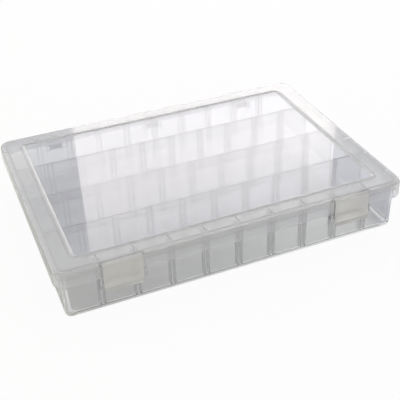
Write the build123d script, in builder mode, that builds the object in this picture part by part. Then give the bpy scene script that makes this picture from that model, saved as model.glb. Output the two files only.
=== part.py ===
"""Shallow compartment storage box: a ribbed tray, a hinged lid and two front latches.

Millimetres, +Z up. The box rests on Z = 0 with its centre at X = Y = 0.
The front, where the latches are, faces -Y, and the hinges are at the back.
"""

import os
from math import radians, tan

from build123d import *

# Driving dimensions of the closed box
box_length = 360.0
box_width = 264.0
rim_height = 55.2
corner_radius = 12.0
outreach = 3.6

# Driving dimensions of the lid
lid_wall = 1.8
skirt_height = 17.0
rim_width_ends = 19.4
rim_width_sides = 16.8
rim_rounding = 3.0
skirt_rounding = 0.6
ridge_width = 5.4
ridge_rise = 1.2
ridge_slope = 60.0
ridge_corner = 9.0
ridge_rounding = 2.0
groove_width = 4.4

# Driving dimensions of the tray
wall = 1.8
floor = 1.8
inset = 5.5
draft = 1.5
tray_corner = 7.5
foot_depth = 1.2
foot_band = 6.0
bottom_rounding = 2.5
inner_rounding = 2.0
flange_thickness = 1.6
lip_thickness = 1.5
lip_drop = 6.5

# Driving dimensions of the compartments
rows = 4
columns = 10
long_wall = 1.8
long_wall_rounding = 0.7
rib_thickness = 1.2
rib_pair_spacing = 4.4
rib_depth = 3.0
outer_rib_depth = 6.0
rib_top_drop = 1.2

# Driving dimensions of the latches
latch_spread = 118.0
latch_width = 38.0
latch_bottom = 25.5
latch_plate = 2.2
latch_pitch_inset = 1.6
latch_pitch_drop = 1.9
barrel_radius = 1.6
axle_radius = 1.0
axle_length = 1.6
flare_height = 3.0
plate_proud = 1.6
hook_height = 3.0
hook_depth = 0.8
latch_corner = 4.0
latch_brow = 2.0
latch_toe = 0.6
hook_tip_height = 1.0
cheek = 1.8
pocket_wall = 1.0
pocket_wall_drop = 6.0
catch_nose = 1.2
catch_root_height = 7.2
guard_thickness = 2.4
guard_depth = 5.2
guard_drop = 3.0

# Driving dimensions of the hinges
hinge_places = [-118.0, 0.0, 118.0]
clip_width = 14.0
clip_radius = 3.6
hinge_bar_radius = 2.0
hinge_cheek = 3.0
hinge_cheek_radius = 3.3
clip_mouth = 3.2
clip_root_height = 9.0
hinge_gusset = 9.0

# Clearances, and how far a cut runs past the surface that it opens
lid_rest_gap = 0.2
lid_side_gap = 1.0
turning_gap = 0.06
side_play = 0.4
catch_gap = 0.1
under_skirt_gap = 0.4
pocket_gap = 1.1
overcut = 1.0

# Heights that follow from the sizes above
skirt_bottom = rim_height - skirt_height
tray_top = rim_height - lid_wall - lid_rest_gap
floor_top = foot_depth + floor
rib_top = tray_top - rib_top_drop
slope = tan(radians(draft))

# Plan sizes that follow from the sizes above
front_face = -box_width / 2
back_face = box_width / 2
tray_length = box_length - 2 * inset
tray_width = box_width - 2 * inset
tray_foot_length = tray_length - 2 * tray_top * slope
tray_foot_width = tray_width - 2 * tray_top * slope
tray_foot_corner = tray_corner - tray_top * slope
floor_shrink = 2 * (tray_top - floor_top) * slope
inner_length = tray_length - 2 * wall
inner_width = tray_width - 2 * wall
inner_floor_length = inner_length - floor_shrink
inner_floor_width = inner_width - floor_shrink
row_pitch = inner_width / rows
column_pitch = inner_length / columns
long_wall_places = [(i - rows / 2) * row_pitch for i in range(1, rows)]
station_places = [(i - columns / 2) * column_pitch for i in range(1, columns)]

# Latch places that follow from the sizes above
latch_axis_y = front_face + latch_pitch_inset
latch_axis_z = rim_height - latch_pitch_drop
plate_front = front_face - plate_proud
plate_back = plate_front + latch_plate
hook_tip = plate_back + hook_depth
catch_tip = hook_tip + catch_gap
hook_middle = latch_bottom + flare_height
catch_bottom = hook_middle + hook_height / 2 + under_skirt_gap
notch_width = latch_width + 2 * side_play
pocket_depth = -tray_width / 2 - pocket_gap - front_face
latch_places = {"left": -latch_spread, "right": latch_spread}

# Hinge places that follow from the sizes above
hinge_axis_y = back_face + outreach - clip_radius
hinge_axis_z = skirt_bottom - under_skirt_gap - hinge_cheek_radius
clip_bore = hinge_bar_radius + turning_gap
cheek_offset = (clip_width + hinge_cheek) / 2 + side_play

# Reach of the flange, the guards and the ridge
flange_length = box_length - 2 * (lid_wall + lid_side_gap)
flange_width = box_width - 2 * (lid_wall + lid_side_gap)
flange_corner = corner_radius - lid_wall - lid_side_gap
flange_gap = notch_width + 2 * (cheek + lid_side_gap)
guard_top = skirt_bottom - under_skirt_gap
guard_offset = (notch_width + guard_thickness) / 2 + side_play
root_back = tray_width / 2 - wall / 2 - (tray_top - hinge_axis_z) * slope
root_front = -root_back
ridge_length = box_length - 2 * rim_width_ends
ridge_span = box_width - 2 * rim_width_sides
ridge_side = (ridge_width - groove_width) / 2

os.makedirs("parts", exist_ok=True)


def finish(piece, name):
    """Label a finished piece and write it to its own file."""
    piece.part.label = name
    export_step(piece.part, f"parts/{name}.step")


# Space inside the tray, with the long walls and the divider ribs left standing in it
with BuildPart() as tray_space:
    with BuildSketch(Plane.XY.offset(floor_top)):
        RectangleRounded(inner_floor_length, inner_floor_width, tray_foot_corner - wall / 2)
    extrude(amount=tray_top - floor_top + overcut, taper=-draft)
    fillet(tray_space.faces().sort_by(Axis.Z)[0].edges(), inner_rounding)
    with BuildSketch(Plane.YZ):
        with Locations([(y, tray_top) for y in long_wall_places]):
            RectangleRounded(
                long_wall, tray_top, long_wall_rounding, align=(Align.CENTER, Align.MAX)
            )
    extrude(amount=box_length / 2, both=True, mode=Mode.SUBTRACT)
    with BuildSketch(Plane.XY.offset(floor_top)):
        for x in station_places:
            for rib_x in (x - rib_pair_spacing / 2, x + rib_pair_spacing / 2):
                with Locations([(rib_x, y) for y in long_wall_places]):
                    Rectangle(rib_thickness, long_wall + 2 * rib_depth)
                with Locations([(rib_x, side * inner_floor_width / 2) for side in (-1, 1)]):
                    Rectangle(rib_thickness, 2 * outer_rib_depth)
    extrude(amount=rib_top - floor_top, mode=Mode.SUBTRACT)


# Tray
with BuildPart() as tray:
    with BuildSketch():
        RectangleRounded(tray_foot_length, tray_foot_width, tray_foot_corner)
    extrude(amount=tray_top, taper=-draft)
    fillet(tray.faces().sort_by(Axis.Z)[0].edges(), bottom_rounding)
    with BuildSketch():
        RectangleRounded(
            tray_foot_length - 2 * foot_band, tray_foot_width - 2 * foot_band, tray_foot_corner
        )
    extrude(amount=foot_depth, mode=Mode.SUBTRACT)
    add(tray_space.part, mode=Mode.SUBTRACT)

    # Turned-down flange that the lid's skirt closes round
    with BuildSketch(Plane.XY.offset(tray_top - flange_thickness)):
        RectangleRounded(flange_length, flange_width, flange_corner)
        RectangleRounded(
            tray_length - wall, tray_width - wall, tray_corner - wall / 2, mode=Mode.SUBTRACT
        )
    extrude(amount=flange_thickness)
    with BuildSketch(Plane.XY.offset(tray_top - lip_drop)):
        RectangleRounded(flange_length, flange_width, flange_corner)
        RectangleRounded(
            flange_length - 2 * lip_thickness,
            flange_width - 2 * lip_thickness,
            flange_corner - lip_thickness,
            mode=Mode.SUBTRACT,
        )
    extrude(amount=lip_drop)

    # Gaps in the flange for the latch pockets
    with BuildSketch(Plane.XY.offset(tray_top - lip_drop)):
        with Locations([(x, -tray_width / 2) for x in latch_places.values()]):
            Rectangle(flange_gap, 2 * inset, align=(Align.CENTER, Align.MAX))
    extrude(amount=lip_drop, mode=Mode.SUBTRACT)

    # Catch bars under the latches
    for x in latch_places.values():
        with BuildSketch(Plane.YZ.offset(x)):
            Polygon(
                (catch_tip, catch_bottom + catch_nose),
                (catch_tip, catch_bottom),
                (root_front, catch_bottom),
                (root_front, catch_bottom + catch_root_height),
                align=None,
            )
    extrude(amount=guard_offset, both=True)

    # Guard ribs at the ends of the catch bars
    for x in latch_places.values():
        for end in (-1, 1):
            with BuildSketch(Plane.YZ.offset(x + end * guard_offset)):
                Polygon(
                    (root_front, guard_top),
                    (-tray_width / 2 - guard_depth, guard_top),
                    (-tray_width / 2 - guard_depth, catch_bottom),
                    (root_front, catch_bottom - guard_drop - guard_depth),
                    align=None,
                )
    extrude(amount=guard_thickness / 2, both=True)

    # Hinge brackets: two cheeks and the round bar between them
    for x in hinge_places:
        for end in (-1, 1):
            with BuildSketch(Plane.YZ.offset(x + end * cheek_offset)):
                Polygon(
                    (root_back, hinge_axis_z + hinge_cheek_radius),
                    (hinge_axis_y, hinge_axis_z + hinge_cheek_radius),
                    (hinge_axis_y, hinge_axis_z - hinge_cheek_radius),
                    (root_back, hinge_axis_z - hinge_cheek_radius - hinge_gusset),
                    align=None,
                )
                with Locations((hinge_axis_y, hinge_axis_z)):
                    Circle(hinge_cheek_radius)
    extrude(amount=hinge_cheek / 2, both=True)
    for x in hinge_places:
        with BuildSketch(Plane.YZ.offset(x)):
            with Locations((hinge_axis_y, hinge_axis_z)):
                Circle(hinge_bar_radius)
    extrude(amount=cheek_offset, both=True)
finish(tray, "tray")


# Hollow under the lid, with the latch pockets left standing in it
with BuildPart() as lid_space:
    with BuildSketch(Plane.XY.offset(skirt_bottom)):
        RectangleRounded(
            box_length - 2 * lid_wall, box_width - 2 * lid_wall, corner_radius - lid_wall
        )
    extrude(amount=skirt_height - lid_wall)
    fillet(lid_space.faces().sort_by(Axis.Z)[-1].edges(), rim_rounding - lid_wall)
    with BuildSketch(Plane.XY.offset(rim_height - lid_wall)):
        RectangleRounded(
            ridge_length - 2 * ridge_side, ridge_span - 2 * ridge_side, ridge_corner - ridge_side
        )
        RectangleRounded(
            ridge_length - 2 * (ridge_side + groove_width),
            ridge_span - 2 * (ridge_side + groove_width),
            ridge_corner - ridge_side - groove_width,
            mode=Mode.SUBTRACT,
        )
    extrude(amount=ridge_rise, taper=ridge_slope)
    with BuildSketch(Plane.XY.offset(skirt_bottom)):
        with Locations([(x, front_face) for x in latch_places.values()]):
            Rectangle(notch_width + 2 * cheek, pocket_depth, align=(Align.CENTER, Align.MIN))
            Rectangle(
                notch_width, pocket_depth, align=(Align.CENTER, Align.MIN), mode=Mode.SUBTRACT
            )
    extrude(amount=skirt_height - lid_wall, mode=Mode.SUBTRACT)
    with BuildSketch(Plane.XY.offset(rim_height - pocket_wall_drop)):
        with Locations([(x, front_face) for x in latch_places.values()]):
            Rectangle(notch_width, pocket_depth, align=(Align.CENTER, Align.MIN))
    extrude(amount=pocket_wall_drop - lid_wall, mode=Mode.SUBTRACT)


# Stacking ridge round the top of the lid
with BuildPart() as ridge:
    with BuildSketch(Plane.XY.offset(rim_height)):
        RectangleRounded(ridge_length, ridge_span, ridge_corner)
    extrude(amount=ridge_rise, taper=ridge_slope)
    with BuildSketch(Plane.XY.offset(rim_height)):
        RectangleRounded(
            ridge_length - 2 * ridge_width, ridge_span - 2 * ridge_width, ridge_corner - ridge_width
        )
    extrude(amount=ridge_rise, taper=-ridge_slope, mode=Mode.SUBTRACT)
    fillet(ridge.faces().sort_by(Axis.Z)[-1].edges(), ridge_rounding)


# Lid
with BuildPart() as lid:
    with BuildSketch(Plane.XY.offset(skirt_bottom)):
        RectangleRounded(box_length, box_width, corner_radius)
    extrude(amount=skirt_height)
    fillet(lid.faces().sort_by(Axis.Z)[-1].edges(), rim_rounding)
    fillet(lid.faces().sort_by(Axis.Z)[0].edges(), skirt_rounding)
    add(ridge.part)
    add(lid_space.part, mode=Mode.SUBTRACT)

    # Notches in the front edge for the latches, and the bores that their axles turn in
    with BuildSketch(Plane.XY.offset(skirt_bottom)):
        with Locations([(x, front_face) for x in latch_places.values()]):
            Rectangle(
                notch_width, pocket_depth - pocket_wall, align=(Align.CENTER, Align.MIN)
            )
    extrude(amount=skirt_height, mode=Mode.SUBTRACT)
    for x in latch_places.values():
        with BuildSketch(Plane.YZ.offset(x)):
            with Locations((latch_axis_y, latch_axis_z)):
                Circle(axle_radius + turning_gap)
    extrude(amount=notch_width / 2 + cheek, both=True, mode=Mode.SUBTRACT)

    # Hinge clips: open hooks on the back of the skirt that snap over the tray's bars
    for x in hinge_places:
        with BuildSketch(Plane.YZ.offset(x)):
            Polygon(
                (back_face - lid_wall / 2, skirt_bottom + clip_root_height),
                (back_face, skirt_bottom + clip_root_height),
                (hinge_axis_y + clip_radius, hinge_axis_z + clip_radius),
                (hinge_axis_y + clip_radius, hinge_axis_z),
                (hinge_axis_y, hinge_axis_z),
                (back_face - lid_wall / 2, skirt_bottom),
                align=None,
            )
            with Locations((hinge_axis_y, hinge_axis_z)):
                Circle(clip_radius)
                Circle(clip_bore, mode=Mode.SUBTRACT)
                Rectangle(
                    clip_mouth,
                    clip_radius,
                    align=(Align.CENTER, Align.MAX),
                    mode=Mode.SUBTRACT,
                )
    extrude(amount=clip_width / 2, both=True)
finish(lid, "lid")


# Latches: a lever that hangs from a barrel with a stub axle at each end
for side, x in latch_places.items():
    with BuildPart() as latch:
        with BuildSketch(Plane.YZ.offset(x)):
            Polygon(
                (latch_axis_y, latch_axis_z + barrel_radius),
                (plate_front + latch_brow, latch_axis_z + barrel_radius),
                (plate_front, latch_axis_z),
                (plate_front, hook_middle),
                (front_face - outreach, latch_bottom + latch_toe),
                (front_face - outreach, latch_bottom),
                (plate_back, latch_bottom + latch_toe),
                (plate_back, hook_middle - hook_height / 2),
                (hook_tip, hook_middle - hook_tip_height / 2),
                (hook_tip, hook_middle + hook_tip_height / 2),
                (plate_back, hook_middle + hook_height / 2),
                (plate_back, latch_axis_z - 2 * barrel_radius),
                (latch_axis_y, latch_axis_z - barrel_radius),
                align=None,
            )
            with Locations((latch_axis_y, latch_axis_z)):
                Circle(barrel_radius)
        extrude(amount=latch_width / 2, both=True)
        with BuildSketch(Plane.XZ):
            with Locations((x, latch_bottom)):
                RectangleRounded(
                    latch_width, rim_height, latch_corner, align=(Align.CENTER, Align.MIN)
                )
        extrude(amount=box_width, mode=Mode.INTERSECT)
        with BuildSketch(Plane.YZ.offset(x)):
            with Locations((latch_axis_y, latch_axis_z)):
                Circle(axle_radius)
        extrude(amount=latch_width / 2 + axle_length, both=True)
    finish(latch, f"latch_{side}")
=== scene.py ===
"""Compartment storage box in clear moulded plastic, on a plain white studio floor."""

import math

import bmesh
import bpy
from bpy.props import FloatProperty, FloatVectorProperty, IntProperty, PointerProperty
from mathutils import Matrix, Vector


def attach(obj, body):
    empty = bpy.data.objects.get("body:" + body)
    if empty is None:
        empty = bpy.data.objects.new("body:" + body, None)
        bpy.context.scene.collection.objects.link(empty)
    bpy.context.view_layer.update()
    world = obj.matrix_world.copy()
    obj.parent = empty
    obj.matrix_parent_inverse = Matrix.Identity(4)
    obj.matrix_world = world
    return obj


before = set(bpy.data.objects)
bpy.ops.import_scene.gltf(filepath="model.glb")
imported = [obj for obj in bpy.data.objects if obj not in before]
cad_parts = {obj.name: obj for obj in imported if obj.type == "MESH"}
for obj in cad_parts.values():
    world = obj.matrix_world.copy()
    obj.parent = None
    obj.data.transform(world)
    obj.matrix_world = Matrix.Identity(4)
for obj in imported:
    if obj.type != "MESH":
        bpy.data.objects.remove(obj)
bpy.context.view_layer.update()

bl_info = {
    "name": "Compartment Storage Box",
    "version": (1, 0, 0),
    "blender": (4, 5, 0),
    "location": "3D View > Sidebar > Storage Box",
    "description": "Finishes a clear plastic storage box and lights it on a white floor",
    "category": "Object",
}


# Sizes and colours that a user would change


class StorageBoxPlastic(bpy.types.PropertyGroup):
    """Clear polypropylene of the tray, the lid and the latches."""

    tray_tint: FloatVectorProperty(
        name="Tray tint",
        description="Colour that the tray's plastic gives to light passing through",
        subtype="COLOR",
        size=3,
        min=0.0,
        max=1.0,
        default=(0.935, 0.94, 0.94),
    )
    panel_tint: FloatVectorProperty(
        name="Panel tint",
        description="Colour that the lid's clear panel gives to light passing through",
        subtype="COLOR",
        size=3,
        min=0.0,
        max=1.0,
        default=(0.935, 0.935, 0.965),
    )
    rim_tint: FloatVectorProperty(
        name="Rim tint",
        description="Colour that the lid's milky rim gives to light passing through",
        subtype="COLOR",
        size=3,
        min=0.0,
        max=1.0,
        default=(0.9, 0.896, 0.878),
    )
    latch_tint: FloatVectorProperty(
        name="Latch tint",
        description="Colour of the thicker, slightly yellow plastic of the latches",
        subtype="COLOR",
        size=3,
        min=0.0,
        max=1.0,
        default=(0.95, 0.94, 0.905),
    )
    stay_tint: FloatVectorProperty(
        name="Stay tint",
        description="Colour of the milky stays under the rim",
        subtype="COLOR",
        size=3,
        min=0.0,
        max=1.0,
        default=(0.95, 0.95, 0.94),
    )
    refractive_index: FloatProperty(
        name="Refractive index",
        description="How strongly the plastic bends and mirrors light",
        min=1.0,
        max=2.0,
        default=1.49,
    )
    tray_haze: FloatProperty(
        name="Tray haze",
        description="Share of light that the tray scatters",
        min=0.0,
        max=1.0,
        default=0.1,
    )
    panel_haze: FloatProperty(
        name="Panel haze",
        description="Share of light that the lid's panel scatters",
        min=0.0,
        max=1.0,
        default=0.15,
    )
    rim_haze: FloatProperty(
        name="Rim haze",
        description="Share of light that the lid's milky rim scatters",
        min=0.0,
        max=1.0,
        default=0.27,
    )
    latch_haze: FloatProperty(
        name="Latch haze",
        description="Share of light that the latches scatter",
        min=0.0,
        max=1.0,
        default=0.32,
    )
    stay_cover: FloatProperty(
        name="Stay cover",
        description="Share of what lies behind them that the stays cover",
        min=0.0,
        max=1.0,
        default=0.85,
    )
    tray_roughness: FloatProperty(
        name="Tray roughness",
        description="Roughness of the tray",
        min=0.0,
        max=1.0,
        default=0.03,
    )
    panel_roughness: FloatProperty(
        name="Panel roughness",
        description="Roughness of the lid's polished panel",
        min=0.0,
        max=1.0,
        default=0.015,
    )
    rim_roughness: FloatProperty(
        name="Rim roughness",
        description="Roughness of the lid's milky rim",
        min=0.0,
        max=1.0,
        default=0.12,
    )
    latch_roughness: FloatProperty(
        name="Latch roughness",
        description="Roughness of the latches",
        min=0.0,
        max=1.0,
        default=0.2,
    )
    stay_roughness: FloatProperty(
        name="Stay roughness",
        description="Roughness of the stays under the rim",
        min=0.0,
        max=1.0,
        default=0.5,
    )
    rim_gloss: FloatProperty(
        name="Rim gloss",
        description="Share of the milky rim's surface that is polished",
        min=0.0,
        max=1.0,
        default=0.75,
    )
    latch_gloss: FloatProperty(
        name="Latch gloss",
        description="Share of the latches' surface that is polished",
        min=0.0,
        max=1.0,
        default=0.7,
    )
    gloss_roughness: FloatProperty(
        name="Gloss roughness",
        description="Roughness of the polished outside over frosted plastic",
        min=0.0,
        max=1.0,
        default=0.03,
    )
    ripple_height: FloatProperty(
        name="Ripple height",
        description="Height of the broad unevenness that moulding leaves",
        subtype="DISTANCE",
        unit="LENGTH",
        min=0.0,
        default=0.00005,
    )
    cloud_shade: FloatProperty(
        name="Cloud shade",
        description="Darker share of the tint where the melt flowed unevenly",
        min=0.0,
        max=1.0,
        default=0.97,
    )
    scratch_roughness: FloatProperty(
        name="Scratch roughness",
        description="Roughness that a fine scratch adds",
        min=0.0,
        max=1.0,
        default=0.3,
    )
    scratch_depth: FloatProperty(
        name="Scratch depth",
        description="Depth of a scratch as a share of the ripples' height",
        min=0.0,
        max=1.0,
        default=0.02,
    )
    panel_reach: FloatVectorProperty(
        name="Panel reach",
        description="Half the length and half the width of the polished panel",
        subtype="XYZ_LENGTH",
        unit="LENGTH",
        size=2,
        default=(0.1552, 0.1098),
    )
    rim_start: FloatVectorProperty(
        name="Rim start",
        description="Heights between which the milky rim starts above the skirt",
        subtype="XYZ_LENGTH",
        unit="LENGTH",
        size=2,
        default=(0.05, 0.0525),
    )
    frost_edge: FloatProperty(
        name="Frost edge",
        description="Width over which the frosting starts",
        subtype="DISTANCE",
        unit="LENGTH",
        min=0.0,
        default=0.0008,
    )
    skirt_frost: FloatProperty(
        name="Skirt frost",
        description="Share of the rim's milky finish that the lid's skirt has",
        min=0.0,
        max=1.0,
        default=0.35,
    )
    ridge_start: FloatVectorProperty(
        name="Ridge start",
        description="Heights between which the stacking ridge's wear starts",
        subtype="XYZ_LENGTH",
        unit="LENGTH",
        size=2,
        default=(0.0552, 0.0555),
    )
    ridge_roughness: FloatProperty(
        name="Ridge roughness",
        description="Roughness that the lid's stacking ridge adds, worn by other boxes",
        min=0.0,
        max=1.0,
        default=0.3,
    )
    # Painted shade: the top edges of the row walls are darkened in colour for how dark the plastic
    # looks seen end on.
    row_edge_painted_shade: FloatVectorProperty(
        name="Row edge tint",
        description="Colour of the top edges of the walls between the rows",
        subtype="COLOR",
        size=3,
        min=0.0,
        max=1.0,
        default=(0.77, 0.77, 0.78),
    )
    row_edge_place: FloatVectorProperty(
        name="Row edge place",
        description="Reach to each side and to the front and back, and height, of the row edges",
        subtype="XYZ_LENGTH",
        unit="LENGTH",
        size=3,
        default=(0.172, 0.1, 0.0515),
    )
    row_edge_start: FloatVectorProperty(
        name="Row edge start",
        description="Places along the rows between which their edges turn dark",
        subtype="XYZ_LENGTH",
        unit="LENGTH",
        size=2,
        default=(-0.15, -0.11),
    )
    # Painted shade: the ribs inside the front wall are darkened in colour for how dark they look
    # edge on.
    front_rib_painted_shade: FloatVectorProperty(
        name="Front rib tint",
        description="Colour of the ribs inside the front wall, seen edge on",
        subtype="COLOR",
        size=3,
        min=0.0,
        max=1.0,
        default=(0.68, 0.68, 0.69),
    )
    front_rib_place: FloatVectorProperty(
        name="Front rib place",
        description="Reach to each side, foot of the wall's inner face, and inner ends of the ribs",
        subtype="XYZ_LENGTH",
        unit="LENGTH",
        size=3,
        default=(0.16, -0.1231, -0.117),
    )
    front_rib_foot: FloatProperty(
        name="Front rib foot",
        description="Height above which the front ribs look dark",
        subtype="DISTANCE",
        unit="LENGTH",
        min=0.0,
        default=0.004,
    )
    front_rib_lean: FloatProperty(
        name="Front wall lean",
        description="Outward lean of the front wall",
        subtype="ANGLE",
        default=math.radians(1.5),
    )
    stay_count: IntProperty(
        name="Stays",
        description="Number of stays under the front rim, one at each divider station",
        min=1,
        default=9,
    )
    stay_pitch: FloatProperty(
        name="Stay pitch",
        description="Distance between stays, the same as between the divider stations",
        subtype="DISTANCE",
        unit="LENGTH",
        default=0.03454,
    )
    stay_start: FloatProperty(
        name="Stay start",
        description="Place of the stays' front ends, at the tray's front wall",
        subtype="DISTANCE",
        unit="LENGTH",
        default=-0.1243,
    )
    stay_top: FloatProperty(
        name="Stay top",
        description="Height of the lid's underside, where the stays hang",
        subtype="DISTANCE",
        unit="LENGTH",
        default=0.0534,
    )
    stay_length: FloatProperty(
        name="Stay length",
        description="Length of a stay from front to back",
        subtype="DISTANCE",
        unit="LENGTH",
        min=0.001,
        default=0.0122,
    )
    stay_width: FloatProperty(
        name="Stay width",
        description="Width of a stay",
        subtype="DISTANCE",
        unit="LENGTH",
        min=0.0002,
        default=0.0014,
    )
    stay_depth: FloatProperty(
        name="Stay depth",
        description="How far a stay stands down from the lid",
        subtype="DISTANCE",
        unit="LENGTH",
        min=0.0002,
        default=0.001,
    )
    stay_rounding: FloatProperty(
        name="Stay rounding",
        description="Rounding of a stay's edges",
        subtype="DISTANCE",
        unit="LENGTH",
        min=0.0,
        default=0.00028,
    )


class StorageBoxStage(bpy.types.PropertyGroup):
    """Floor, lamps and camera."""

    camera_place: FloatVectorProperty(
        name="Camera place",
        description="Where the camera stands",
        subtype="TRANSLATION",
        unit="LENGTH",
        size=3,
        default=(-0.24958, -0.68495, 0.4855),
    )
    camera_heading: FloatProperty(
        name="Camera heading",
        description="Turn of the view from the box's front-to-back line towards its right",
        subtype="ANGLE",
        default=math.radians(22.64),
    )
    camera_dip: FloatProperty(
        name="Camera dip",
        description="How far the view looks down",
        subtype="ANGLE",
        default=math.radians(32.62),
    )
    camera_roll: FloatProperty(
        name="Camera roll",
        description="Turn of the camera about its line of sight",
        subtype="ANGLE",
        default=math.radians(-1.65),
    )
    lens: FloatProperty(
        name="Focal length",
        description="Focal length of the lens on a 36 mm sensor",
        subtype="DISTANCE_CAMERA",
        unit="CAMERA",
        default=71.5,
    )
    lens_shift: FloatVectorProperty(
        name="Lens shift",
        description="Shift of the picture that frames the box",
        size=2,
        default=(-0.0578, -0.0298),
    )
    floor_size: FloatProperty(
        name="Floor size",
        description="Width of the square floor",
        subtype="DISTANCE",
        unit="LENGTH",
        default=8.0,
    )
    # Painted light: the floor is painted warmer at the left and cooler at the right to stand in for
    # the room's light.
    floor_left_painted_light: FloatVectorProperty(
        name="Left floor colour",
        description="Colour of the floor at the box's left end",
        subtype="COLOR",
        size=3,
        min=0.0,
        max=1.0,
        default=(0.86, 0.85, 0.79),
    )
    floor_right_painted_light: FloatVectorProperty(
        name="Right floor colour",
        description="Colour of the floor at the box's right end",
        subtype="COLOR",
        size=3,
        min=0.0,
        max=1.0,
        default=(0.83, 0.84, 0.88),
    )
    floor_painted_light_reach: FloatProperty(
        name="Floor reach",
        description="Distance to each side over which the floor's colour and whiteness change",
        subtype="DISTANCE",
        unit="LENGTH",
        min=0.01,
        default=0.2,
    )
    floor_seen: FloatProperty(
        name="Floor whiteness",
        description="Share of plain white in the floor as the camera sees it",
        min=0.0,
        max=1.0,
        default=0.94,
    )
    # Painted light: the floor's white share in mirrors and through plastic grows towards the right,
    # standing in for light that falls off to the left.
    floor_mirrored_painted_light: FloatVectorProperty(
        name="Mirrored floor whiteness",
        description="Share of plain white in the floor mirrored in the box's left and right ends",
        size=2,
        min=0.0,
        max=1.0,
        default=(0.1, 0.8),
    )
    floor_through_painted_light: FloatVectorProperty(
        name="Floor whiteness through plastic",
        description="Share of plain white in the floor through the box's left and right ends",
        size=2,
        min=0.0,
        max=1.0,
        default=(0.34, 0.5),
    )
    floor_back: FloatProperty(
        name="Back floor whiteness",
        description="Share of plain white in the floor behind the box, seen through plastic",
        min=0.0,
        max=1.0,
        default=0.9,
    )
    floor_back_start: FloatVectorProperty(
        name="Back floor start",
        description="Distances behind the box's middle between which the floor turns white",
        subtype="XYZ_LENGTH",
        unit="LENGTH",
        size=2,
        default=(0.13, 0.25),
    )
    # Painted shade on the floor beyond the box's right end, which only clear plastic shows.
    floor_end_shade: FloatProperty(
        name="End floor shade",
        description="Darkness of the floor beyond the box's right end, seen through plastic",
        min=0.0,
        max=1.0,
        default=0.56,
    )
    floor_end_shade_colour: FloatVectorProperty(
        name="Floor end colour",
        description="Colour of the darker band of floor seen through the box's right end",
        subtype="COLOR",
        size=3,
        min=0.0,
        max=1.0,
        default=(0.03, 0.03, 0.26),
    )
    floor_end_start: FloatVectorProperty(
        name="End floor start",
        description="Places to the right between which the floor darkens",
        subtype="XYZ_LENGTH",
        unit="LENGTH",
        size=2,
        default=(0.145, 0.165),
    )
    floor_end_stop: FloatVectorProperty(
        name="End floor stop",
        description="Places to the right between which the floor's darkness ends",
        subtype="XYZ_LENGTH",
        unit="LENGTH",
        size=2,
        default=(0.205, 0.22),
    )
    floor_end_depth: FloatVectorProperty(
        name="End floor depth",
        description="Places from front to back between which the floor's darkness ends",
        subtype="XYZ_LENGTH",
        unit="LENGTH",
        size=2,
        default=(-0.08, 0.02),
    )
    window_place: FloatVectorProperty(
        name="Window place",
        description="Middle of the tall soft window behind the box",
        subtype="TRANSLATION",
        unit="LENGTH",
        size=3,
        default=(0.3925, 0.9, 0.4975),
    )
    window_width: FloatProperty(
        name="Window width",
        description="Width of the tall soft window",
        subtype="DISTANCE",
        unit="LENGTH",
        default=0.685,
    )
    window_height: FloatProperty(
        name="Window height",
        description="Height of the tall soft window",
        subtype="DISTANCE",
        unit="LENGTH",
        default=0.635,
    )
    window_colour: FloatVectorProperty(
        name="Window colour",
        description="Colour of the window's light",
        subtype="COLOR",
        size=3,
        min=0.0,
        max=1.0,
        default=(1.0, 0.935, 0.9),
    )
    window_top_strength: FloatProperty(
        name="Window strength at its top",
        description="Brightness of the top of the window",
        min=0.0,
        default=0.8,
    )
    window_peak_strength: FloatProperty(
        name="Window strength at its peak",
        description="Brightness of the brightest band of the window",
        min=0.0,
        default=2.25,
    )
    window_foot_strength: FloatProperty(
        name="Window strength at its foot",
        description="Brightness of the foot of the window",
        min=0.0,
        default=1.5,
    )
    window_fade: FloatVectorProperty(
        name="Window fade",
        description="Shares of the window's height, from its top, where its brightness changes",
        size=2,
        min=0.0,
        max=1.0,
        default=(0.0, 0.26),
    )
    window_foot_fade: FloatVectorProperty(
        name="Window foot fade",
        description="Shares of the height, from the top, between the brightest band and the foot",
        size=2,
        min=0.0,
        max=1.0,
        default=(0.3, 0.55),
    )
    room_colour: FloatVectorProperty(
        name="Room colour",
        description="Colour of the room that the plastic mirrors",
        subtype="COLOR",
        size=3,
        min=0.0,
        max=1.0,
        default=(0.86, 0.88, 1.0),
    )
    room_above: FloatProperty(
        name="Room brightness above",
        description="Brightness of the upper back of the room in mirrored light",
        min=0.0,
        default=1.22,
    )
    room_front: FloatProperty(
        name="Room brightness in front",
        description="Brightness of the front of the room in mirrored light",
        min=0.0,
        default=0.3,
    )
    fill_light: FloatProperty(
        name="Fill light",
        description="Brightness of the even light from all round",
        min=0.0,
        default=0.85,
    )


# Plain white, as the background shows it

WHITE = (1.0, 1.0, 1.0, 1.0)


# Marks that moulding and handling leave

FLOW_STRETCH = (3.0, 22.0, 22.0)
FLOW_SHARE = 0.2
CLOUD_TINT_SPAN = (0.35, 0.65)
CLOUD_FINISH_SPAN = (0.3, 0.7)
ROUGH_SHARES = (0.8, 1.25)
COVER_SHARES = (0.8, 1.2)
SCRATCH_RUNS = ((0.35, 380.0, 0.0), (1.25, 520.0, 3.1), (-0.7, 300.0, 7.7))
SCRATCH_STRETCH = 9.0
SCRATCH_LINE = (0.74, 0.80)


# Mirrored room, which is brighter upwards and towards the back

ROOM_BACK_SHARE = 0.6
ROOM_SPAN = (-0.6, 1.0)


# Camera sensor in millimetres, and how often light may pass through plastic or be mirrored

SENSOR_WIDTH = 36.0
CLEAR_BOUNCES = 32
MIRROR_BOUNCES = 6


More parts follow.
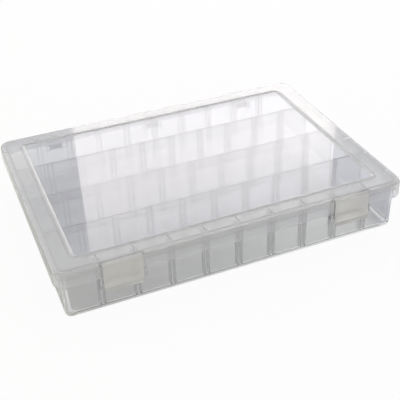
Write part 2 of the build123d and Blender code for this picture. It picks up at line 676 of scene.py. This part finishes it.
class Recipe:
    """Adds and links the nodes of one material, world, lamp or node group."""

    def __init__(self, tree):
        self.tree = tree
        self.column = 0

    def node(self, kind, values=None, settings=None):
        """Add a node, set its own settings, and set or link its sockets."""
        made = self.tree.nodes.new(kind)
        made.location = (self.column, 0)
        self.column += 200
        for name, value in (settings or {}).items():
            setattr(made, name, value)
        for name, value in (values or {}).items():
            self.feed(made.inputs[name], value)
        return made

    def feed(self, socket, value):
        """Link a socket to another node's output, or set its value."""
        if isinstance(value, bpy.types.NodeSocket):
            self.tree.links.new(value, socket)
        else:
            socket.default_value = value

    def maths(self, operation, first, second=0.0, clamp=False):
        """Return the result of a Math node."""
        return self.node(
            "ShaderNodeMath", {0: first, 1: second}, {"operation": operation, "use_clamp": clamp}
        ).outputs[0]

    def product(self, first, *others):
        """Return the product of values or masks."""
        for other in others:
            first = self.maths("MULTIPLY", first, other)
        return first

    def ramp(self, value, low, high, out_low=0.0, out_high=1.0):
        """Return value brought from the range low to high to the range out_low to out_high."""
        return self.node(
            "ShaderNodeMapRange",
            {
                "Value": value,
                "From Min": low,
                "From Max": high,
                "To Min": out_low,
                "To Max": out_high,
            },
        ).outputs["Result"]

    def mix_value(self, share, first, second):
        """Return a mix of two values."""
        return self.node(
            "ShaderNodeMix", {0: share, 2: first, 3: second}, {"data_type": "FLOAT"}
        ).outputs[0]

    def mix_colour(self, share, first, second):
        """Return a mix of two colours."""
        return self.node(
            "ShaderNodeMix", {0: share, 6: first, 7: second}, {"data_type": "RGBA"}
        ).outputs[2]

    def parts(self, vector):
        """Return the X, Y and Z of a vector."""
        return self.node("ShaderNodeSeparateXYZ", {0: vector}).outputs

    def noise(self, vector, scale, detail):
        """Return the value of a Noise Texture."""
        return self.node(
            "ShaderNodeTexNoise", {"Vector": vector, "Scale": scale, "Detail": detail}
        ).outputs[0]


def opaque(colour):
    """Return a colour with full alpha."""
    return (*colour, 1.0)


def fresh_recipe(owner):
    """Empty the nodes of a material, world or lamp, and return the recipe for new ones."""
    owner.use_nodes = True
    owner.node_tree.nodes.clear()
    return Recipe(owner.node_tree)


def fresh_material(name):
    """Return a new material, its recipe, and the place on the object that is shaded."""
    material = bpy.data.materials.new(name)
    recipe = fresh_recipe(material)
    return material, recipe, recipe.node("ShaderNodeTexCoord").outputs["Object"]


# Effects that the plastics share


def new_group(name, inputs, outputs):
    """Return a shader node group with the named sockets, its recipe, and its input node."""
    group = bpy.data.node_groups.new(name, "ShaderNodeTree")
    for label, kind, value in inputs:
        socket = group.interface.new_socket(label, in_out="INPUT", socket_type=kind)
        if value is not None:
            socket.default_value = value
    for label, kind in outputs:
        group.interface.new_socket(label, in_out="OUTPUT", socket_type=kind)
    recipe = Recipe(group)
    source = recipe.node("NodeGroupInput")
    return group, recipe, source


def moulding_group(name):
    """Build the uneven surface that moulding leaves: broad ripples and flow lines."""
    group, recipe, source = new_group(
        name,
        [("Position", "NodeSocketVector", None), ("Ripple Scale", "NodeSocketFloat", 22.0)],
        [("Height", "NodeSocketFloat"), ("Cloud", "NodeSocketFloat")],
    )
    place = source.outputs["Position"]
    ripple = recipe.noise(place, scale=source.outputs["Ripple Scale"], detail=2.0)
    stretched = recipe.node("ShaderNodeMapping", {"Vector": place, "Scale": FLOW_STRETCH})
    flow = recipe.noise(stretched.outputs[0], scale=4.0, detail=1.0)
    height = recipe.maths("ADD", ripple, recipe.maths("MULTIPLY", flow, FLOW_SHARE))
    recipe.node("NodeGroupOutput", {"Height": height, "Cloud": flow})
    return group


def scratch_group(name):
    """Build the fine hairlines that handling leaves, running in three directions."""
    group, recipe, source = new_group(
        name,
        [("Position", "NodeSocketVector", None), ("Amount", "NodeSocketFloat", 0.5)],
        [("Mask", "NodeSocketFloat")],
    )
    mask = 0.0
    for turn, spread, offset in SCRATCH_RUNS:
        placed = recipe.node(
            "ShaderNodeMapping",
            {
                "Vector": source.outputs["Position"],
                "Location": (offset, offset, 0.0),
                "Rotation": (0.0, 0.0, turn),
                "Scale": (SCRATCH_STRETCH, spread, SCRATCH_STRETCH),
            },
        )
        lines = recipe.noise(placed.outputs[0], scale=1.0, detail=1.0)
        mask = recipe.maths("MAXIMUM", mask, recipe.ramp(lines, *SCRATCH_LINE))
    mask = recipe.maths("MULTIPLY", mask, source.outputs["Amount"], clamp=True)
    recipe.node("NodeGroupOutput", {"Mask": mask})
    return group


def shared_effect(recipe, name, build, values):
    """Place a shared node group, which is built the first time that it is used."""
    group = bpy.data.node_groups.get(name) or build(name)
    return recipe.node("ShaderNodeGroup", values, {"node_tree": group}).outputs


# Masks that tell the parts of a moulding apart, and that place painted shade on edges


def outside_ridge(recipe, place, look):
    """Mask the lid's milky rim, which lies outside the ridge, and a share of its skirt."""
    x, y, z = recipe.parts(place)
    masks = []
    for away, reach in zip((x, y), look.panel_reach):
        away = recipe.maths("ABSOLUTE", away)
        masks.append(recipe.ramp(away, reach, reach + look.frost_edge))
    beyond = recipe.maths("MAXIMUM", *masks)
    return recipe.product(beyond, recipe.ramp(z, *look.rim_start, look.skirt_frost, 1.0))


def painted_row_edge_shade(recipe, place, look):
    """Mask the top edges of the walls between the rows, where shade is painted for how dark the
    plastic looks seen end on.
    """
    x, y, z = recipe.parts(place)
    side, front, height = look.row_edge_place
    return recipe.product(
        recipe.maths("GREATER_THAN", z, height),
        recipe.maths("LESS_THAN", recipe.maths("ABSOLUTE", x), side),
        recipe.maths("LESS_THAN", recipe.maths("ABSOLUTE", y), front),
        recipe.ramp(x, *look.row_edge_start),
    )


def painted_front_rib_shade(recipe, place, look):
    """Mask the ribs inside the leaning front wall, where shade is painted for how dark they look
    edge on.
    """
    x, y, z = recipe.parts(place)
    side, wall_foot, rib_end = look.front_rib_place
    lean = recipe.maths("MULTIPLY", z, math.tan(look.front_rib_lean))
    return recipe.product(
        recipe.maths("GREATER_THAN", recipe.maths("ADD", y, lean), wall_foot),
        recipe.maths("LESS_THAN", y, rib_end),
        recipe.maths("LESS_THAN", recipe.maths("ABSOLUTE", x), side),
        recipe.maths("GREATER_THAN", z, look.front_rib_foot),
    )


# Plastics


def skin_colour(recipe, place, cloud, skin, look):
    """Return the tint of a skin, with flow clouds and the painted shade on edges that it has."""
    tint = Vector(skin["tint"])
    share = recipe.ramp(cloud, *CLOUD_TINT_SPAN)
    colour = recipe.mix_colour(share, opaque(tint), opaque(tint * look.cloud_shade))
    # Painted shade on edges that look dark end on.
    for mask, dark in skin.get("painted_shade_edges", ()):
        colour = recipe.mix_colour(mask(recipe, place, look), colour, opaque(dark))
    return colour


def skin_roughness(recipe, place, cloud, scratches, skin, look):
    """Return the roughness of a skin, which flow, scratches and the ridge's wear change."""
    shares = [skin["roughness"] * share for share in ROUGH_SHARES]
    plain = recipe.ramp(cloud, *CLOUD_FINISH_SPAN, *shares)
    scuffs = recipe.maths("MULTIPLY", scratches, look.scratch_roughness)
    worn = recipe.ramp(recipe.parts(place)["Z"], *look.ridge_start, 0.0, look.ridge_roughness)
    return recipe.maths("ADD", plain, recipe.maths("MAXIMUM", scuffs, worn), clamp=True)


def plastic_skin(recipe, place, skin, look):
    """Add a Principled shader for one clear plastic skin with ripples and fine scratches."""
    moulded = shared_effect(
        recipe,
        "moulded_surface",
        moulding_group,
        {"Position": place, "Ripple Scale": skin["ripple_scale"]},
    )
    scratches = shared_effect(
        recipe,
        "handling_scratches",
        scratch_group,
        {"Position": place, "Amount": skin["scratches"]},
    )["Mask"]
    cloud = moulded["Cloud"]
    dents = recipe.maths("MULTIPLY", scratches, look.scratch_depth)
    height = recipe.maths("SUBTRACT", moulded["Height"], dents)
    bump = recipe.node(
        "ShaderNodeBump", {"Height": height, "Strength": 1.0, "Distance": look.ripple_height}
    )
    return recipe.node(
        "ShaderNodeBsdfPrincipled",
        {
            "Base Color": skin_colour(recipe, place, cloud, skin, look),
            "Roughness": skin_roughness(recipe, place, cloud, scratches, skin, look),
            "Normal": bump.outputs[0],
            "IOR": look.refractive_index,
            "Transmission Weight": 1.0 - skin["haze"],
            "Coat Weight": skin["gloss"],
            "Coat Roughness": look.gloss_roughness,
        },
    ).outputs[0]


def clear_plastic(name, look, skin, rim_skin=None):
    """Return a clear plastic, with a second skin outside the lid's ridge if one is given."""
    material, recipe, place = fresh_material(name)
    shader = plastic_skin(recipe, place, skin, look)
    if rim_skin:
        share = outside_ridge(recipe, place, look)
        rim_shader = plastic_skin(recipe, place, rim_skin, look)
        shader = recipe.node("ShaderNodeMixShader", {0: share, 1: shader, 2: rim_shader}).outputs[0]
    recipe.node("ShaderNodeOutputMaterial", {"Surface": shader})
    return material


def faint_plastic(name, look):
    """Return a milky plastic that covers only a share of what lies behind it."""
    material, recipe, place = fresh_material(name)
    cloud = shared_effect(recipe, "moulded_surface", moulding_group, {"Position": place})["Cloud"]
    shares = [look.stay_cover * share for share in COVER_SHARES]
    shader = recipe.node(
        "ShaderNodeBsdfPrincipled",
        {
            "Base Color": opaque(look.stay_tint),
            "Roughness": look.stay_roughness,
            "Alpha": recipe.ramp(cloud, *CLOUD_FINISH_SPAN, *shares),
        },
    )
    recipe.node("ShaderNodeOutputMaterial", {"Surface": shader.outputs[0]})
    return material


def dress(node_name, material):
    """Give a CAD node its finish."""
    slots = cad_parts[node_name].data.materials
    slots.clear()
    slots.append(material)


# Pieces


class STORAGEBOX_OT_tray(bpy.types.Operator):
    """Finish the tray in clear, slightly hazy plastic, with painted shade on its row edges and front
    ribs
    """

    bl_idname = "storage_box.tray"
    bl_label = "Tray"

    def execute(self, context):
        look = context.scene.storage_box_plastic
        skin = {
            "tint": look.tray_tint,
            "roughness": look.tray_roughness,
            "haze": look.tray_haze,
            "gloss": 0.0,
            # Painted shade on the row edges and front ribs.
            "painted_shade_edges": ((painted_row_edge_shade, look.row_edge_painted_shade), (painted_front_rib_shade, look.front_rib_painted_shade)),
            "ripple_scale": 26.0,
            "scratches": 0.3,
        }
        dress("tray", clear_plastic("tray_plastic", look, skin))
        return {"FINISHED"}


class STORAGEBOX_OT_lid(bpy.types.Operator):
    """Finish the lid: a clear polished panel inside a milky rim"""

    bl_idname = "storage_box.lid"
    bl_label = "Lid"

    def execute(self, context):
        look = context.scene.storage_box_plastic
        panel_skin = {
            "tint": look.panel_tint,
            "roughness": look.panel_roughness,
            "haze": look.panel_haze,
            "gloss": 0.0,
            "ripple_scale": 14.0,
            "scratches": 0.6,
        }
        rim_skin = {
            "tint": look.rim_tint,
            "roughness": look.rim_roughness,
            "haze": look.rim_haze,
            "gloss": look.rim_gloss,
            "ripple_scale": 20.0,
            "scratches": 0.8,
        }
        dress("lid", clear_plastic("lid_plastic", look, panel_skin, rim_skin))
        return {"FINISHED"}


class STORAGEBOX_OT_rim_stays(bpy.types.Operator):
    """Add the low stays under the lid's front rim, one at each divider station"""

    bl_idname = "storage_box.rim_stays"
    bl_label = "Rim stays"

    def execute(self, context):
        look = context.scene.storage_box_plastic
        size = (look.stay_width, look.stay_length, look.stay_depth)
        middle_y = look.stay_start + look.stay_length / 2
        middle_z = look.stay_top - look.stay_depth / 2
        bars = bmesh.new()
        for number in range(look.stay_count):
            middle_x = (number - (look.stay_count - 1) / 2) * look.stay_pitch
            bar = bmesh.ops.create_cube(bars, size=1.0)["verts"]
            bmesh.ops.scale(bars, vec=size, verts=bar)
            bmesh.ops.translate(bars, vec=(middle_x, middle_y, middle_z), verts=bar)
        bmesh.ops.bevel(
            bars,
            geom=bars.edges[:],
            offset=look.stay_rounding,
            segments=2,
            profile=0.5,
            affect="EDGES",
            material=-1,
        )
        mesh = bpy.data.meshes.new("rim_stays")
        bars.to_mesh(mesh)
        bars.free()
        mesh.materials.append(faint_plastic("stay_plastic", look))
        stays = bpy.data.objects.new("rim_stays", mesh)
        context.scene.collection.objects.link(stays)
        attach(stays, "lid")
        return {"FINISHED"}


class STORAGEBOX_OT_latches(bpy.types.Operator):
    """Finish the two latches in milky plastic"""

    bl_idname = "storage_box.latches"
    bl_label = "Latches"

    def execute(self, context):
        look = context.scene.storage_box_plastic
        skin = {
            "tint": look.latch_tint,
            "roughness": look.latch_roughness,
            "haze": look.latch_haze,
            "gloss": look.latch_gloss,
            "ripple_scale": 6.0,
            "scratches": 0.0,
        }
        plastic = clear_plastic("latch_plastic", look, skin)
        for name in ("latch_left", "latch_right"):
            dress(name, plastic)
        return {"FINISHED"}


# Stage


def end_shade(recipe, x, y, through, stage):
    """Mask the painted shade on the floor beyond the box's right end, which only clear plastic
    shows.
    """
    return recipe.product(
        recipe.ramp(x, *stage.floor_end_start, 0.0, stage.floor_end_shade),
        recipe.ramp(x, *stage.floor_end_stop, 1.0, 0.0),
        recipe.ramp(y, *stage.floor_end_depth, 1.0, 0.0),
        through,
    )


def floor_white_share(recipe, x, y, path, shade, stage):
    """Return the share of plain white in the floor, as each kind of ray sees it, with painted light
    that grows towards the right and less under the painted shade.
    """
    through = path["Is Transmission Ray"]
    seen = recipe.maths("MULTIPLY", path["Is Camera Ray"], stage.floor_seen)
    behind = recipe.ramp(y, *stage.floor_back_start, 0.0, stage.floor_back)
    share = recipe.maths("MAXIMUM", seen, recipe.product(behind, through))
    unshaded = recipe.maths("SUBTRACT", 1.0, shade)
    # Painted light: the share grows from left to right.
    for ray, ends in ((through, stage.floor_through_painted_light), (path["Is Glossy Ray"], stage.floor_mirrored_painted_light)):
        along = recipe.ramp(x, -stage.floor_painted_light_reach, stage.floor_painted_light_reach, *ends)
        share = recipe.maths("MAXIMUM", share, recipe.product(ray, along, unshaded))
    return share


def floor_paint(stage):
    """Return a floor material that looks white and still takes a soft shadow, with painted light
    that is warmer at the left and cooler at the right, and painted shade beyond the box's right end.
    """
    material, recipe, place = fresh_material("floor_white")
    path = recipe.node("ShaderNodeLightPath").outputs
    x, y, _ = recipe.parts(place)
    shade = end_shade(recipe, x, y, path["Is Transmission Ray"], stage)
    # Painted light: warmer at the left, cooler at the right.
    across = recipe.ramp(x, -stage.floor_painted_light_reach, stage.floor_painted_light_reach)
    left, right = opaque(stage.floor_left_painted_light), opaque(stage.floor_right_painted_light)
    colour = recipe.mix_colour(across, left, right)
    # Painted shade beyond the box's right end.
    colour = recipe.mix_colour(shade, colour, opaque(stage.floor_end_shade_colour))
    paint = recipe.node("ShaderNodeBsdfDiffuse", {"Color": colour})
    glow = recipe.node("ShaderNodeEmission", {"Color": WHITE, "Strength": 1.0})
    share = floor_white_share(recipe, x, y, path, shade, stage)
    both = recipe.node("ShaderNodeMixShader", {0: share, 1: paint.outputs[0], 2: glow.outputs[0]})
    recipe.node("ShaderNodeOutputMaterial", {"Surface": both.outputs[0]})
    return material


def white_floor(stage):
    """Add a large floor under the box."""
    sheet = bmesh.new()
    bmesh.ops.create_grid(sheet, x_segments=1, y_segments=1, size=stage.floor_size / 2)
    mesh = bpy.data.meshes.new("floor")
    sheet.to_mesh(mesh)
    sheet.free()
    mesh.materials.append(floor_paint(stage))
    floor = bpy.data.objects.new("floor", mesh)
    bpy.context.scene.collection.objects.link(floor)


def studio_world(stage):
    """Light the box evenly from all round, show white behind it, and let it mirror a room."""
    world = bpy.data.worlds.new("studio")
    bpy.context.scene.world = world
    recipe = fresh_recipe(world)
    path = recipe.node("ShaderNodeLightPath").outputs
    mirrored = path["Is Glossy Ray"]
    seen = recipe.maths("ADD", path["Is Camera Ray"], path["Is Transmission Ray"], clamp=True)
    _, y, z = recipe.parts(recipe.node("ShaderNodeTexCoord").outputs["Generated"])
    upward = recipe.maths("ADD", recipe.maths("MULTIPLY", y, ROOM_BACK_SHARE), z)
    room = recipe.ramp(upward, *ROOM_SPAN, stage.room_front, stage.room_above)
    lamps = recipe.mix_value(mirrored, stage.fill_light, room)
    strength = recipe.mix_value(seen, lamps, 1.0)
    only_mirrored = recipe.maths("SUBTRACT", mirrored, seen, clamp=True)
    colour = recipe.mix_colour(only_mirrored, WHITE, opaque(stage.room_colour))
    light = recipe.node("ShaderNodeBackground", {"Color": colour, "Strength": strength})
    recipe.node("ShaderNodeOutputWorld", {"Surface": light.outputs[0]})


def tall_window(stage):
    """Add the tall soft window whose reflection lies across the lid."""
    width, height = stage.window_width, stage.window_height
    lamp = bpy.data.lights.new("tall_window", "AREA")
    lamp.shape = "RECTANGLE"
    lamp.size = width
    lamp.size_y = height
    lamp.energy = math.pi * width * height
    recipe = fresh_recipe(lamp)
    down = recipe.parts(recipe.node("ShaderNodeNewGeometry").outputs["Parametric"])["Y"]
    peak = stage.window_peak_strength
    above = recipe.ramp(down, *stage.window_fade, stage.window_top_strength, peak)
    below = recipe.ramp(down, *stage.window_foot_fade, peak, stage.window_foot_strength)
    strength = recipe.maths("MINIMUM", above, below)
    glow = recipe.node(
        "ShaderNodeEmission", {"Color": opaque(stage.window_colour), "Strength": strength}
    )
    recipe.node("ShaderNodeOutputLight", {0: glow.outputs[0]})
    window = bpy.data.objects.new("tall_window", lamp)
    bpy.context.scene.collection.objects.link(window)
    window.location = stage.window_place
    window.rotation_euler = (math.radians(-90.0), 0.0, 0.0)


def place_camera(stage):
    """Add the camera and look through it."""
    heading, dip, roll = stage.camera_heading, stage.camera_dip, stage.camera_roll
    sight = Vector(
        (
            math.sin(heading) * math.cos(dip),
            math.cos(heading) * math.cos(dip),
            -math.sin(dip),
        )
    )
    right = sight.cross(Vector((0.0, 0.0, 1.0))).normalized()
    up = right.cross(sight)
    across = right * math.cos(roll) + up * math.sin(roll)
    upright = up * math.cos(roll) - right * math.sin(roll)
    turn = Matrix((across, upright, -sight)).transposed().to_4x4()
    view = bpy.data.cameras.new("camera")
    view.sensor_width = SENSOR_WIDTH
    view.lens = stage.lens
    view.shift_x, view.shift_y = stage.lens_shift
    view.clip_start = 0.01
    camera = bpy.data.objects.new("camera", view)
    bpy.context.scene.collection.objects.link(camera)
    camera.matrix_world = Matrix.Translation(stage.camera_place) @ turn
    bpy.context.scene.camera = camera


class STORAGEBOX_OT_stage(bpy.types.Operator):
    """Set the floor, the lamps and the camera"""

    bl_idname = "storage_box.stage"
    bl_label = "Stage"

    def execute(self, context):
        stage = context.scene.storage_box_stage
        place_camera(stage)
        white_floor(stage)
        studio_world(stage)
        tall_window(stage)
        scene = context.scene
        scene.view_settings.view_transform = "Standard"
        scene.cycles.max_bounces = CLEAR_BOUNCES
        scene.cycles.transmission_bounces = CLEAR_BOUNCES
        scene.cycles.transparent_max_bounces = CLEAR_BOUNCES
        scene.cycles.glossy_bounces = MIRROR_BOUNCES
        return {"FINISHED"}


# Add-on


class STORAGEBOX_PT_panel(bpy.types.Panel):
    """Lists the sizes, colours and steps of the storage box"""

    bl_idname = "STORAGEBOX_PT_panel"
    bl_label = "Storage Box"
    bl_space_type = "VIEW_3D"
    bl_region_type = "UI"
    bl_category = "Storage Box"

    def draw(self, context):
        for settings in (context.scene.storage_box_plastic, context.scene.storage_box_stage):
            for name in settings.bl_rna.properties.keys():
                if name not in ("rna_type", "name"):
                    self.layout.prop(settings, name)
        for step in STEPS:
            self.layout.operator(step.bl_idname)


STEPS = (
    STORAGEBOX_OT_tray,
    STORAGEBOX_OT_lid,
    STORAGEBOX_OT_rim_stays,
    STORAGEBOX_OT_latches,
    STORAGEBOX_OT_stage,
)
CLASSES = (StorageBoxPlastic, StorageBoxStage, *STEPS, STORAGEBOX_PT_panel)


def register():
    for each in CLASSES:
        bpy.utils.register_class(each)
    bpy.types.Scene.storage_box_plastic = PointerProperty(type=StorageBoxPlastic)
    bpy.types.Scene.storage_box_stage = PointerProperty(type=StorageBoxStage)


def unregister():
    del bpy.types.Scene.storage_box_stage
    del bpy.types.Scene.storage_box_plastic
    for each in reversed(CLASSES):
        bpy.utils.unregister_class(each)


def main():
    register()
    bpy.ops.storage_box.tray()
    bpy.ops.storage_box.lid()
    bpy.ops.storage_box.rim_stays()
    bpy.ops.storage_box.latches()
    bpy.ops.storage_box.stage()


if __name__ == "__main__":
    main()
